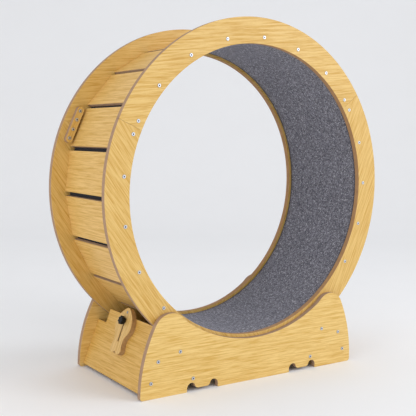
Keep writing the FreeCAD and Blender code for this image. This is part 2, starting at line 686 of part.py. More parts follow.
def fish_latch():
    """The latch: a fish with a slot down its middle, nose up."""
    edges = fish_outline(1) + fish_outline(-1)
    fish = Part.Face(Part.Wire(Part.sortEdges(edges)[0])).extrude(Vector(0, 0, LATCH_T))
    slot = Part.makeBox(2 * SLOT_HALF, SLOT_HIGH - SLOT_LOW, LATCH_T,
                        Vector(-SLOT_HALF, SLOT_LOW, 0))
    for end in (SLOT_LOW, SLOT_HIGH):
        slot = slot.fuse(Part.makeCylinder(SLOT_HALF, LATCH_T, Vector(0, end, 0)))
    eye = Part.makeCylinder(EYE_R + SHANK_CLEAR, EYE_DEPTH,
                            Vector(0, LATCH_LENGTH - EYE_INSET, LATCH_T - EYE_DEPTH))
    fish = fish.cut(slot.removeSplitter()).cut(eye)
    fish.translate(Vector(0, LATCH_LOW, LATCH_BACK))
    return fish


def latch_eye():
    """The steel pin that makes the fish's eye."""
    eye_height = LATCH_LOW + LATCH_LENGTH - EYE_INSET
    pin = Part.makeCylinder(EYE_R, EYE_DEPTH + EYE_PROUD,
                            Vector(0, eye_height, LATCH_FACE - EYE_DEPTH))
    rim = [edge for edge in pin.Edges if isinstance(edge.Curve, Part.Circle)
           and abs(edge.BoundBox.ZMin - LATCH_FACE - EYE_PROUD) < 1e-6]
    return pin.makeFillet(EYE_PROUD / 2, rim)


def clamp_knob():
    """The star knob that screws down on the stud and clamps the latch."""
    hub = Part.makeCylinder(KNOB_HUB_R, KNOB_HUB_T)
    star = Part.makeCylinder(KNOB_CORE_R, KNOB_T, Vector(0, 0, KNOB_HUB_T))
    for i in range(KNOB_LOBES):
        angle = 2 * math.pi * i / KNOB_LOBES
        centre = Vector(KNOB_LOBE_AT * math.cos(angle), KNOB_LOBE_AT * math.sin(angle),
                        KNOB_HUB_T)
        star = star.fuse(Part.makeCylinder(KNOB_LOBE_R, KNOB_T, centre))
    star = star.removeSplitter()
    ends = (KNOB_HUB_T, KNOB_HUB_T + KNOB_T)
    rims = [edge for edge in star.Edges if edge.BoundBox.ZLength < 1e-6
            and min(abs(edge.BoundBox.ZMin - z) for z in ends) < 1e-6]
    star = star.makeFillet(KNOB_EDGE, rims)
    bore = Part.makeCylinder(STUD_R + STUD_RUN, STUD_IN_KNOB + LATCH_RUN)
    knob = star.fuse(hub).cut(bore).removeSplitter()
    knob.translate(Vector(0, LATCH_STUD, KNOB_BASE))
    return knob


def latch_travel():
    """How far the latch rises before its nose would meet the slats as they pass."""
    return slope_reach(LATCH_BACK, SLAT_SWEPT_R + LATCH_STOP) - LATCH_LOW - LATCH_LENGTH


# -------------------------------------------------------------------------------- assembly
def wheel_pieces():
    pieces = {}
    for name, outward in (("front", FRONT), ("rear", REAR)):
        for k in range(SEGMENTS):
            pieces["%s_ring_segment_%d" % (name, k + 1)] = ring_segment(k, outward)
            pieces["%s_splice_plate_%d" % (name, k + 1)] = splice_plate(joint_angles()[k], outward)
    for i in range(SLATS):
        pieces["slat_%02d" % (i + 1)] = slat(i)
    pieces["felt_liner"] = felt_liner()
    pieces["ring_screws"] = Part.makeCompound(ring_screws())
    pieces["splice_screws"] = Part.makeCompound(splice_screws())
    return pieces


def stand_pieces():
    pieces = {"front_side_panel": side_panel(FRONT),
              "rear_side_panel": side_panel(REAR),
              "left_end_panel": end_panel(-1, True),
              "right_end_panel": end_panel(1, False),
              "left_cross_rail": cross_rail(-1),
              "right_cross_rail": cross_rail(1)}
    pieces["panel_screws"] = Part.makeCompound(panel_screws())
    return pieces


def roller_pieces():
    pieces = {"axle_bolts": Part.makeCompound(axle_bolts()),
              "axle_spacers": Part.makeCompound(at_axles(axle_spacer())),
              "axle_nuts": Part.makeCompound(at_axles(axle_nut())),
              "bearing_inner_rings": Part.makeCompound(at_axles(bearing_inner_ring())),
              "bearing_balls": Part.makeCompound(at_axles(bearing_balls()))}
    places = ("front_left", "front_right", "rear_left", "rear_right")
    for place, wheel, race in zip(places, at_axles(roller_wheel()), at_axles(bearing_outer_ring())):
        pieces["roller_%s" % place] = wheel
        pieces["bearing_outer_ring_%s" % place] = race
    return pieces


def latch_pieces():
    return {"fish_latch": on_end(fish_latch(), -1),
            "latch_eye": on_end(latch_eye(), -1),
            "latch_stud": on_end(latch_stud(), -1),
            "clamp_knob": on_end(clamp_knob(), -1)}


def main():
    os.makedirs("parts", exist_ok=True)
    pieces = {}
    for group in (wheel_pieces(), stand_pieces(), roller_pieces(), latch_pieces()):
        pieces.update(group)
    for name, shape in pieces.items():
        shape.exportStep("parts/%s.step" % name)
        print("%-34s solids %2d  valid %s  volume %10.1f" % (
            name, len(shape.Solids), shape.isValid(), shape.Volume))
    print("nodes", len(pieces))
    print("axle height %.3f" % AXLE_Z)
    print("latch travel %.3f" % latch_travel())


main()
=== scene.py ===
import json
import math
import random

import bmesh
import bpy
from mathutils import Matrix, Vector, noise


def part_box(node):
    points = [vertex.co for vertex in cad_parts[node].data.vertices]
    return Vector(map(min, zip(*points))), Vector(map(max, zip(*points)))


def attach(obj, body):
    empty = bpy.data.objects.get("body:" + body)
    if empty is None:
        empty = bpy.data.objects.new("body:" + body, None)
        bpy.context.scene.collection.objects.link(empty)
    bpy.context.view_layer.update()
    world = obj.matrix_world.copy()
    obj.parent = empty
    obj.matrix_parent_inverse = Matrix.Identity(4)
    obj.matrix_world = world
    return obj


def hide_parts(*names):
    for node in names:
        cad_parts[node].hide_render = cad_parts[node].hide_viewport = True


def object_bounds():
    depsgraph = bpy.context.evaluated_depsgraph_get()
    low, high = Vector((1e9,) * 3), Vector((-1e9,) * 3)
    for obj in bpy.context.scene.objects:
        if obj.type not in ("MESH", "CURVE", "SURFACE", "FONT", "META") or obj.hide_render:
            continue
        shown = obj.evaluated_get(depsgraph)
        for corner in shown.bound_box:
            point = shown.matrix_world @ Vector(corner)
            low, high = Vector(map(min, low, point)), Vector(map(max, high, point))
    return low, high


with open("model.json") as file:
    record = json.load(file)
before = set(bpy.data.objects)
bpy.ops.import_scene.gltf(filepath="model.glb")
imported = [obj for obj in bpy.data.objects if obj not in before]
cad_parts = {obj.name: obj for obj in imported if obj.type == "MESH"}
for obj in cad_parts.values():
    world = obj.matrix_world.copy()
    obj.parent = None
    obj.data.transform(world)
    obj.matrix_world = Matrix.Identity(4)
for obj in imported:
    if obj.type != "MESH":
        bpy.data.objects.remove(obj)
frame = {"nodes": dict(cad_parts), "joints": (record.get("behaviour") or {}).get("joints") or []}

cad_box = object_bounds()

# ------------------------------------------------------------------------ ring boards
# Two rings carry the drum.  Each is three arcs of 16 mm veneered fibreboard, cut on a router
# and butted end to end, with the veneer's grain along the chord of each arc.  The cut edges
# are brown fibreboard, with painted warm bounce light on those round the opening, and each
# screw head sits in a counterbore.
MM = 0.001
hinges = {joint["name"]: Vector(joint["pos_m"]) for joint in frame["joints"] if "pos_m" in joint}
AXIS = hinges["wheel_spin"]
RIM_R = cad_box[1].x
RING_INNER_R = RIM_R - 74.5 * MM
RING_BACK = {"front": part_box("front_ring_segment_1")[1].y, "rear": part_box("rear_ring_segment_1")[1].y}
RING_T = RING_BACK["front"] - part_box("front_ring_segment_1")[0].y
BOARDS = 3                        # in each ring
SLATS_PER_BOARD = 7
FIRST_JOINT = math.radians(36.65)
JOINT_GAP = 0.4 * MM
BOARD_SPAN = math.tau / BOARDS
SLATS = BOARDS * SLATS_PER_BOARD
SLAT_PITCH = math.tau / SLATS
SLAT_MIDDLE_R = 445 * MM
JOINT_SCREW_OFFSET = 19 * MM      # screws each side of a joint
HEAD_R = 5.25 * MM                # button head of a screw
HEAD_SINK = 2.2 * MM
HEAD_CLEAR = 0.15 * MM
HEAD_SIDES = 24
EASE = 0.4 * MM                   # sanding along a board's edges
SANDED = math.radians(40)         # edges sharper than this are sanded
SHARP = math.radians(12)          # edges sharper than this stay crisp
ARC_STEP = math.radians(1.5)
FEWEST_STEPS = 3
TOUCHING = 0.01 * MM              # points closer than this are one
VENEER_STOCK = 50                 # metres each way, which every leaf is cut from
FACE_LIE = 0.9                    # a face that lies flatter than this is veneered
EASED_LIE = 0.2                   # and one that lies flatter than this is a sanded edge
EASED_CUT = 0.55                  # how bare a sanded edge looks

# The veneer's figure: cycles a metre along the grain, across it and through it.
SWAY = (1.5, 6.0, 1.0)
RIPPLE = (8.0, 45.0, 1.0)
TICKS = (14.0, 270.0, 1.0)
STREAKS = (5.5, 165.0, 1.0)
PATCHES = (1.6, 11.0, 1.0)
PORES = (70.0, 1500.0, 1.0)
SWAY_BEND = 8.0                   # growth rings that a slow bend moves them by
RIPPLE_BEND = 1.2
LATE_WOOD_SHARE = 0.26            # how far each mark darkens the wood
STREAK_SHARE = 0.36
TICK_SHARE = 0.44
PORE_SHARE = 0.30
PORE_TONE = 0.62
FIBREBOARD = (0.40, 0.255, 0.158)
FIBREBOARD_DARK = 0.70
FIBREBOARD_LIGHT = 1.18
WARM_BOUNCE_TINT = (1.10, 0.95, 0.67, 1)    # painted warm bounce light on the inner edges of the rings
FIBRES = 900.0                    # cycles a metre every way
CLUMPS = 70.0

# A board is drawn in its own plan: x and y in its face, z through its thickness.
FRONT_VIEW = Matrix(((1, 0, 0, 0), (0, 0, -1, 0), (0, 1, 0, 0), (0, 0, 0, 1)))
chance = random.Random(12)


class Wire:
    """A number on its way through a finish: sums written on it become Math nodes."""

    def __init__(self, finish, socket):
        self.finish = finish
        self.socket = socket

    def math(self, operation, *others):
        return self.finish.math(operation, self, *others)

    def __add__(self, other):
        return self.math("ADD", other)

    def __radd__(self, other):
        return self.finish.math("ADD", other, self)

    def __sub__(self, other):
        return self.math("SUBTRACT", other)

    def __rsub__(self, other):
        return self.finish.math("SUBTRACT", other, self)

    def __mul__(self, other):
        return self.math("MULTIPLY", other)

    def __rmul__(self, other):
        return self.finish.math("MULTIPLY", other, self)

    def between(self, low, high):
        """0 below low, 1 above high and even in between."""
        ends = {"Value": self, "From Min": low, "From Max": high}
        return self.finish.node("MapRange", {"clamp": True}, ends)


class Finish:
    """A material being mixed, with its main shader."""

    def __init__(self, name, **constants):
        self.material = bpy.data.materials.new(name)
        self.material.use_nodes = True
        self.tree = self.material.node_tree
        self.shader = self.tree.nodes["Principled BSDF"]
        self.feed(self.shader, {key.replace("_", " "): value for key, value in constants.items()})

    def feed(self, node, values):
        for key, value in values.items():
            if isinstance(key, int):
                socket = node.inputs[key]
            else:
                socket = next(s for s in node.inputs if s.name == key and s.enabled)
            if isinstance(value, Wire):
                self.tree.links.new(value.socket, socket)
            else:
                socket.default_value = value

    def node(self, kind, settings, values, output=None):
        """A node of a kind, with its settings made first and then its sockets fed."""
        node = self.tree.nodes.new("ShaderNode" + kind)
        for key, value in settings.items():
            setattr(node, key, value)
        self.feed(node, values)
        outputs = [s for s in node.outputs if s.enabled and output in (None, s.name)]
        return Wire(self, outputs[0])

    def math(self, operation, *numbers):
        return self.node("Math", {"operation": operation}, dict(enumerate(numbers)))

    def blend(self, share, colour_a, colour_b):
        """Two colours mixed by a share from 0 to 1."""
        values = {"Factor": share, "A": colour_a, "B": colour_b}
        return self.node("Mix", {"data_type": "RGBA"}, values)

    def grained(self, place, stretch, detail=2.0, rough=0.55, warp=0.0):
        """Noise on a place that is first stretched, by cycles a metre each way."""
        stretched = self.node("Mapping", {}, {"Vector": place, "Scale": stretch})
        values = {"Vector": stretched, "Scale": 1.0, "Detail": detail, "Roughness": rough,
                  "Distortion": warp}
        return self.node("TexNoise", {"noise_dimensions": "3D"}, values)

    def mottled(self, place, cycles, **look):
        """Noise that is the same every way, by cycles a metre."""
        return self.grained(place, (cycles, cycles, cycles), **look)

    def done(self, **values):
        self.feed(self.shader, {key.replace("_", " "): value for key, value in values.items()})
        return self.material


def toned(colour, share):
    """A colour made darker or lighter."""
    return [part * share for part in colour[:3]] + [1]


def veneered_board(name, pale, deep, figure_per_m=80.0, edge=FIBREBOARD):
    """Satin wood veneer on the faces and bare fibreboard on the cut edges."""
    finish = Finish(name, Specular_IOR_Level=0.42)
    grain = finish.node("UVMap", {"uv_map": "grain"}, {})
    place = finish.node("TexCoord", {}, {}, "Object")
    cut = finish.node("Attribute", {"attribute_name": "cut_edge"}, {}, "Fac")
    across = finish.node("SeparateXYZ", {}, {"Vector": grain}, "Y")

    sway = finish.grained(grain, SWAY)
    ripple = finish.grained(grain, RIPPLE)
    growth = (across * figure_per_m + sway * SWAY_BEND + ripple * RIPPLE_BEND).math("FRACT")
    late_wood = growth.math("PINGPONG", 0.5) * 2.0
    ticks = finish.grained(grain, TICKS).between(0.48, 0.58)
    streaks = finish.grained(grain, STREAKS, detail=3.0, rough=0.6).between(0.44, 0.56)
    patches = finish.grained(grain, PATCHES).between(0.3, 0.7)
    pores = finish.grained(grain, PORES, detail=1.0).between(0.60, 0.74)

    tone = late_wood * patches * LATE_WOOD_SHARE + streaks * STREAK_SHARE + ticks * TICK_SHARE
    veneer = finish.blend(tone, pale, deep)
    veneer = finish.blend(pores * PORE_SHARE, veneer, toned(deep, PORE_TONE))

    fibres = finish.mottled(place, FIBRES, detail=3.0, rough=0.7)
    clumps = finish.mottled(place, CLUMPS, detail=3.0)
    fibreboard = finish.blend((fibres * 0.6 + clumps * 0.4).between(0.3, 0.7),
                              toned(edge, FIBREBOARD_DARK), toned(edge, FIBREBOARD_LIGHT))
    # Painted warm bounce light on the cut edges round the rings' opening.
    bounce_warmed = finish.node("Attribute", {"attribute_name": "bounce_warmed"}, {}, "Fac")
    fibreboard = finish.node("Mix", {"data_type": "RGBA", "blend_type": "MULTIPLY"},
                             {"Factor": bounce_warmed, "A": fibreboard, "B": WARM_BOUNCE_TINT})
    colour = finish.blend(cut, veneer, fibreboard)

    relief = (1 - pores * 0.8 + streaks * 0.15) * (1 - cut) + fibres * cut
    bump = finish.node("Bump", {}, {"Height": relief, "Strength": 0.22, "Distance": 0.12 * MM})
    roughness = 0.43 + streaks * 0.10 + cut * 0.36
    return finish.done(Base_Color=colour, Roughness=roughness, Normal=bump)


def sawn(start, cuts, thickness):
    """A board sawn to an outline in its plan.  Each cut runs on from the last: (x, y) is a
    straight cut to there, and (x, y, angle) an arc round there."""
    bm = bmesh.new()
    tip = bm.verts.new((*start, 0))
    for cut in cuts:
        if len(cut) == 2:
            tip = bmesh.ops.extrude_vert_indiv(bm, verts=[tip])["verts"][0]
            tip.co = (*cut, 0)
        else:
            steps = max(FEWEST_STEPS, math.ceil(abs(cut[2]) / ARC_STEP))
            swept = bmesh.ops.spin(bm, geom=[tip], cent=(cut[0], cut[1], 0), axis=(0, 0, 1),
                                   angle=cut[2], steps=steps)
            tip = next(v for v in swept["geom_last"] if isinstance(v, bmesh.types.BMVert))
    bmesh.ops.remove_doubles(bm, verts=bm.verts, dist=TOUCHING)
    face = bmesh.ops.contextual_create(bm, geom=bm.edges)["faces"]
    lifted = bmesh.ops.extrude_face_region(bm, geom=face)["geom"]
    bmesh.ops.translate(bm, vec=(0, 0, thickness),
                        verts=[v for v in lifted if isinstance(v, bmesh.types.BMVert)])
    bmesh.ops.recalc_face_normals(bm, faces=bm.faces)
    return bm


def cut_away(bm, tool):
    """The board with the shape of another bmesh cut out of it."""
    holders = []
    for shape in (bm, tool):
        bmesh.ops.recalc_face_normals(shape, faces=shape.faces)
        mesh = bpy.data.meshes.new("shape")
        shape.to_mesh(mesh)
        shape.free()
        holders.append(bpy.data.objects.new("shape", mesh))
        bpy.context.scene.collection.objects.link(holders[-1])
    cutting = holders[0].modifiers.new("cut", "BOOLEAN")
    cutting.operation = "DIFFERENCE"
    cutting.solver = "EXACT"
    cutting.object = holders[1]
    bpy.context.view_layer.update()
    left = holders[0].evaluated_get(bpy.context.evaluated_depsgraph_get()).to_mesh()
    result = bmesh.new()
    result.from_mesh(left)
    for holder in holders:
        holder.to_mesh_clear()
        mesh = holder.data
        bpy.data.objects.remove(holder)
        bpy.data.meshes.remove(mesh)
    return result


def bored(bm, seats):
    """The board with a counterbore at each seat, which are places in the board's plan."""
    tool = bmesh.new()
    radius = HEAD_R + HEAD_CLEAR
    for place in seats:
        bmesh.ops.create_cone(tool, cap_ends=True, segments=HEAD_SIDES, radius1=radius,
                              radius2=radius, depth=2 * HEAD_SINK, matrix=place)
    return cut_away(bm, tool)


def eased(bm, width=EASE):
    """Sands every sharp edge of a board."""
    sharp = [e for e in bm.edges if len(e.link_faces) == 2 and e.calc_face_angle() > SANDED]
    bmesh.ops.bevel(bm, geom=sharp, offset=width, offset_type="OFFSET", affect="EDGES",
                    segments=2, profile=0.5, material=-1, clamp_overlap=True)


def veneer_laid(bm, grain_angle):
    """Lays veneer on the faces of a board, with its grain at an angle in the plan."""
    bmesh.ops.recalc_face_normals(bm, faces=bm.faces)
    grain = bm.loops.layers.uv.new("grain")
    cut_edge = bm.faces.layers.float.new("cut_edge")
    along = Vector((math.cos(grain_angle), math.sin(grain_angle), 0))
    across = Vector((-along.y, along.x, 0))
    leaf = Vector((chance.uniform(0, VENEER_STOCK), chance.uniform(0, VENEER_STOCK)))
    for face in bm.faces:
        lie = abs(face.normal.z)
        face[cut_edge] = 0.0 if lie > FACE_LIE else EASED_CUT if lie > EASED_LIE else 1.0
        for loop in face.loops:
            loop[grain].uv = leaf + Vector((loop.vert.co.dot(along), loop.vert.co.dot(across)))


def finished(bm, name, material, body, slot, *nodes):
    """The finished piece, which rides its body in place of its CAD nodes."""
    for edge in bm.edges:
        edge.smooth = len(edge.link_faces) == 2 and edge.calc_face_angle() < SHARP
    for face in bm.faces:
        face.smooth = True
    mesh = bpy.data.meshes.new(name)
    bm.to_mesh(mesh)
    bm.free()
    mesh.materials.append(material)
    piece = bpy.data.objects.new(name, mesh)
    bpy.context.scene.collection.objects.link(piece)
    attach(piece, body)
    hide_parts(*nodes)
    return piece


def seat(x, y, z, outward=1):
    """Where a screw's head sits in a board's plan, facing up or down through it."""
    place = Matrix.Translation((x, y, z))
    return place if outward > 0 else place @ Matrix.Rotation(math.pi, 4, "X")


def ring_board_seats(index, outward):
    """Eight screws hold a ring board: one in each slat, and one in each it shares at a joint."""
    seats = []
    for i in range(SLATS_PER_BOARD + 1):
        offset = JOINT_SCREW_OFFSET * ((i == 0) - (i == SLATS_PER_BOARD))
        turn = FIRST_JOINT + (index * SLATS_PER_BOARD + i) * SLAT_PITCH
        z = RING_T if outward > 0 else 0
        seats.append(Matrix.Rotation(turn, 4, "Z") @ seat(SLAT_MIDDLE_R, offset, z, outward))
    return seats


RING_VENEER = veneered_board("ring_veneer", pale=(0.735, 0.494, 0.163, 1),
                             deep=(0.548, 0.300, 0.048, 1))
ring_place, ring_screw_places = {}, []
for row, outward in (("front", 1), ("rear", -1)):
    ring_place[row] = Matrix.Translation((0, RING_BACK[row], AXIS.z)) @ FRONT_VIEW
    for index in range(BOARDS):
        trim = JOINT_GAP / 2 / RIM_R
        start = FIRST_JOINT + index * BOARD_SPAN + trim
        end = FIRST_JOINT + (index + 1) * BOARD_SPAN - trim
        towards_start = Vector((math.cos(start), math.sin(start)))
        towards_end = Vector((math.cos(end), math.sin(end)))
        board = sawn(RING_INNER_R * towards_start,
                     [RIM_R * towards_start, (0, 0, end - start),
                      RING_INNER_R * towards_end, (0, 0, start - end)], RING_T)
        seats = ring_board_seats(index, outward)
        board = bored(board, seats)
        eased(board)
        veneer_laid(board, (start + end + math.pi) / 2)
        # The cut edges round the opening take the painted warm bounce light.
        bounce_warmed = board.faces.layers.float.new("bounce_warmed")
        for face in board.faces:
            face[bounce_warmed] = face.calc_center_median().xy.length < RING_INNER_R + EASE / 2
        bmesh.ops.transform(board, matrix=ring_place[row], verts=board.verts)
        finished(board, "%s_ring_board_%d" % (row, index + 1), RING_VENEER, "wheel", "ring_board",
                 "%s_ring_segment_%d" % (row, index + 1))
        ring_screw_places += [ring_place[row] @ place for place in seats]

# ----------------------------------------------------------------------- splice plates
# A straight bar of the same board with round ends bridges each joint on the ring's inner
# face.  Four screws go through it into the two ring boards.
PLATE_T = 16 * MM
PLATE_HALF_WIDTH = 10.5 * MM
PLATE_HALF_LENGTH = 57 * MM
PLATE_MIDDLE_R = 468.5 * MM
PLATE_SCREWS = [side * place * MM for place in (15.5, 43.5) for side in (-1, 1)]
PLATE_VENEER = veneered_board("plate_veneer", pale=(0.72, 0.465, 0.145, 1),
                              deep=(0.545, 0.300, 0.050, 1))

plate_screw_places = []
for row, outward in (("front", -1), ("rear", 1)):
    for index in range(BOARDS):
        reach = PLATE_HALF_LENGTH - PLATE_HALF_WIDTH
        plate = sawn((PLATE_HALF_WIDTH, -reach),
                     [(PLATE_HALF_WIDTH, reach), (0, reach, math.pi),
                      (-PLATE_HALF_WIDTH, -reach), (0, -reach, math.pi)], PLATE_T)
        seats = [seat(0, y, PLATE_T if outward > 0 else 0, outward) for y in PLATE_SCREWS]
        plate = bored(plate, seats)
        eased(plate)
        veneer_laid(plate, math.pi / 2)
        lift = RING_T if outward > 0 else -PLATE_T
        place = (ring_place[row] @ Matrix.Rotation(FIRST_JOINT + index * BOARD_SPAN, 4, "Z")
                 @ Matrix.Translation((PLATE_MIDDLE_R, 0, lift)))
        bmesh.ops.transform(plate, matrix=place, verts=plate.verts)
        finished(plate, "%s_plate_%d" % (row, index + 1), PLATE_VENEER, "wheel", "plate_board",
                 "%s_splice_plate_%d" % (row, index + 1))
        plate_screw_places += [place @ screw_seat for screw_seat in seats]

# ------------------------------------------------------------------------------- slats
# Twenty-one flat slats of 10 mm veneered board join the rings and make the drum, with a gap
# of about a finger between them.  The grain runs along each slat, from ring to ring.
SLAT_T = 10 * MM
SLAT_HALF_WIDTH = 61 * MM
SLAT_HALF_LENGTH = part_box("slat_01")[1].y
SLAT_VIEW = Matrix(((0, 0, 1, 0), (1, 0, 0, 0), (0, 1, 0, 0), (0, 0, 0, 1)))
SLAT_VENEER = veneered_board("slat_veneer", pale=(0.770, 0.500, 0.176, 1),
                             deep=(0.562, 0.322, 0.060, 1), figure_per_m=90.0)

for index in range(SLATS):
    slat = sawn((-SLAT_HALF_LENGTH, -SLAT_HALF_WIDTH),
                [(SLAT_HALF_LENGTH, -SLAT_HALF_WIDTH), (SLAT_HALF_LENGTH, SLAT_HALF_WIDTH),
                 (-SLAT_HALF_LENGTH, SLAT_HALF_WIDTH), (-SLAT_HALF_LENGTH, -SLAT_HALF_WIDTH)], SLAT_T)
    eased(slat, 2 * EASE)
    veneer_laid(slat, 0)
    place = (Matrix.Translation(AXIS) @ Matrix.Rotation(-FIRST_JOINT - index * SLAT_PITCH, 4, "Y")
             @ SLAT_VIEW @ Matrix.Translation((0, 0, SLAT_MIDDLE_R - SLAT_T / 2)))
    bmesh.ops.transform(slat, matrix=place, verts=slat.verts)
    finished(slat, "drum_slat_%02d" % (index + 1), SLAT_VENEER, "wheel", "slat_board",
             "slat_%02d" % (index + 1))

# -------------------------------------------------------------------------------- felt
# The running surface is one strip of grey needled felt, 3 mm thick, glued inside the slats.
# Its ends butt on the side that the latch is on.  Dark and light fibres make it heathered, and
# painted shade darkens it along the rings and on its back between the slats.
FELT_OUTER_R = 439.7 * MM
FELT_T = 5.7 * MM                 # 3 mm of felt under a raised nap
FELT_HALF_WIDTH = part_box("felt_liner")[1].y
FELT_BUTT = FIRST_JOINT + BOARD_SPAN
FELT_BUTT_GAP = 0.4 * MM / FELT_OUTER_R
FELT_STEPS = 336
FELT_ROWS = 40
FELT_LOFT = 0.3 * MM              # unevenness of the felt's surface
FELT_LUMPS = 38                   # cycles a metre of that unevenness
FELT_DARK = (0.031, 0.030, 0.039, 1)
FELT_LIGHT = (0.248, 0.244, 0.286, 1)
FELT_FLECK = (0.66, 0.66, 0.70, 1)
FELT_PIT = (0.030, 0.029, 0.037, 1)
FELT_EDGE_SHADE = (0.020, 0.019, 0.024, 1)
FELT_BACK_SHADE = (0.010, 0.011, 0.016, 1)


def needled_felt():
    """Short fibres of mixed grey, matted together."""
    finish = Finish("needled_felt", Specular_IOR_Level=0.15, Sheen_Weight=0.24,
                    Sheen_Roughness=0.6, Sheen_Tint=(0.75, 0.75, 0.85, 1))
    place = finish.node("TexCoord", {}, {}, "Object")
    mat = finish.mottled(place, 190.0, rough=0.6, warp=1.0)
    fibres = finish.mottled(place, 420.0, rough=0.6, warp=2.0)
    flecks = finish.mottled(place, 210.0, detail=1.0, warp=1.6).between(0.58, 0.66)
    pits = finish.mottled(place, 205.0, detail=1.0, warp=2.0).between(0.55, 0.68)
    clouds = finish.mottled(place, 14.0)
    tone = mat.between(0.42, 0.58) * 0.65 + fibres.between(0.40, 0.60) * 0.25 + clouds * 0.10
    colour = finish.blend(tone, FELT_DARK, FELT_LIGHT)
    colour = finish.blend(flecks * 0.7, colour, FELT_FLECK)
    colour = finish.blend(pits * 0.55, colour, FELT_PIT)
    along_axis = finish.node("SeparateXYZ", {}, {"Vector": place}, "Y")
    # Painted shade: dark bands along the felt's edges where the rings shade it, 2 to 6 mm in from the
    # rear edge and 9 to 14 mm in from the front edge.
    rim = (along_axis.between(FELT_HALF_WIDTH - 6 * MM, FELT_HALF_WIDTH - 2 * MM)
           + (0 - along_axis).between(FELT_HALF_WIDTH - 14 * MM, FELT_HALF_WIDTH - 9 * MM))
    # Painted shade: the felt's back, seen through the gaps between the slats, is painted near black.
    shaded_back = finish.node("Attribute", {"attribute_name": "shaded_back"}, {}, "Fac")
    colour = finish.blend(rim * 0.75, colour, FELT_EDGE_SHADE)
    colour = finish.blend(shaded_back, colour, FELT_BACK_SHADE)
    relief = mat * 0.5 + fibres * 0.5 + flecks * 0.3
    bump = finish.node("Bump", {}, {"Height": relief, "Strength": 0.7, "Distance": 0.8 * MM})
    return finish.done(Base_Color=colour, Roughness=0.93 + fibres * 0.05, Normal=bump)


felt = bmesh.new()
tip = felt.verts.new(AXIS + Vector((FELT_OUTER_R, -FELT_HALF_WIDTH, 0)))
for row in range(FELT_ROWS):
    tip = bmesh.ops.extrude_vert_indiv(felt, verts=[tip])["verts"][0]
    bmesh.ops.translate(felt, verts=[tip], vec=(0, 2 * FELT_HALF_WIDTH / FELT_ROWS, 0))
bmesh.ops.rotate(felt, verts=felt.verts, cent=AXIS,
                 matrix=Matrix.Rotation(-FELT_BUTT - FELT_BUTT_GAP / 2, 3, "Y"))
bmesh.ops.spin(felt, geom=felt.verts[:] + felt.edges[:], cent=AXIS, axis=(0, -1, 0),
               angle=math.tau - FELT_BUTT_GAP, steps=FELT_STEPS)
for vert in felt.verts:
    out = Vector((vert.co.x, 0, vert.co.z - AXIS.z)).normalized()
    vert.co += out * FELT_LOFT * noise.noise(vert.co * FELT_LUMPS)
felt_faces = felt.faces[:]
bmesh.ops.recalc_face_normals(felt, faces=felt.faces)
bmesh.ops.solidify(felt, geom=felt_faces, thickness=FELT_T)
bmesh.ops.recalc_face_normals(felt, faces=felt.faces)
# Painted shade goes on the felt's outer face, which lies against the slats.
shaded_back = felt.faces.layers.float.new("shaded_back")
for face in felt.faces:
    middle = face.calc_center_median() - AXIS
    face[shaded_back] = Vector((middle.x, middle.z)).length > FELT_OUTER_R - FELT_T / 4
felt_strip = finished(felt, "felt_running_surface", needled_felt(), "wheel", "felt", "felt_liner")

# -------------------------------------------------------------------------- side panels
# Two side panels of the same board stand on the floor.  Their tops are hollowed round the
# wheel between rounded shoulders, and each has two notches that leave it standing on feet.
PANEL_T = 16 * MM
PANEL_BACK = {"front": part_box("front_side_panel")[1].y, "rear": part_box("rear_side_panel")[1].y}
STAND_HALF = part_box("front_side_panel")[1].x
FOOT_CORNER_R = 8 * MM
SADDLE_R = 434 * MM
CROWN_R = 55 * MM
CROWN_X = STAND_HALF - 96.5 * MM
CROWN_LAP = 2.4 * MM
BLEND_R = 60 * MM
NOTCH_X = 189.5 * MM
NOTCH_HALF = 53.5 * MM
NOTCH_ARCH_X = 38 * MM
NOTCH_ARCH_TOP = 26 * MM
NOTCH_ARCH_R = 12 * MM
NOTCH_ARCH_SWEEP = math.radians(75)
NOTCH_TOE = 8.5 * MM
END_LEAN = math.radians(21)
END_FOOT_X = 379.7 * MM
END_SCREWS = (47.8 * MM, 110.3 * MM)
RAIL_SCREW = (223 * MM, 38 * MM)
AXLE = hinges["roller_spin_front_right"]
PANEL_VENEER = veneered_board("panel_veneer", pale=(0.815, 0.570, 0.210, 1),
                              deep=(0.598, 0.348, 0.062, 1), figure_per_m=70.0)


def turn_from(centre, start, end):
    """The turn round a centre, under half a circle, that takes one point to another."""
    a, b = start - centre, end - centre
    return math.atan2(a.x * b.y - a.y * b.x, a.dot(b))


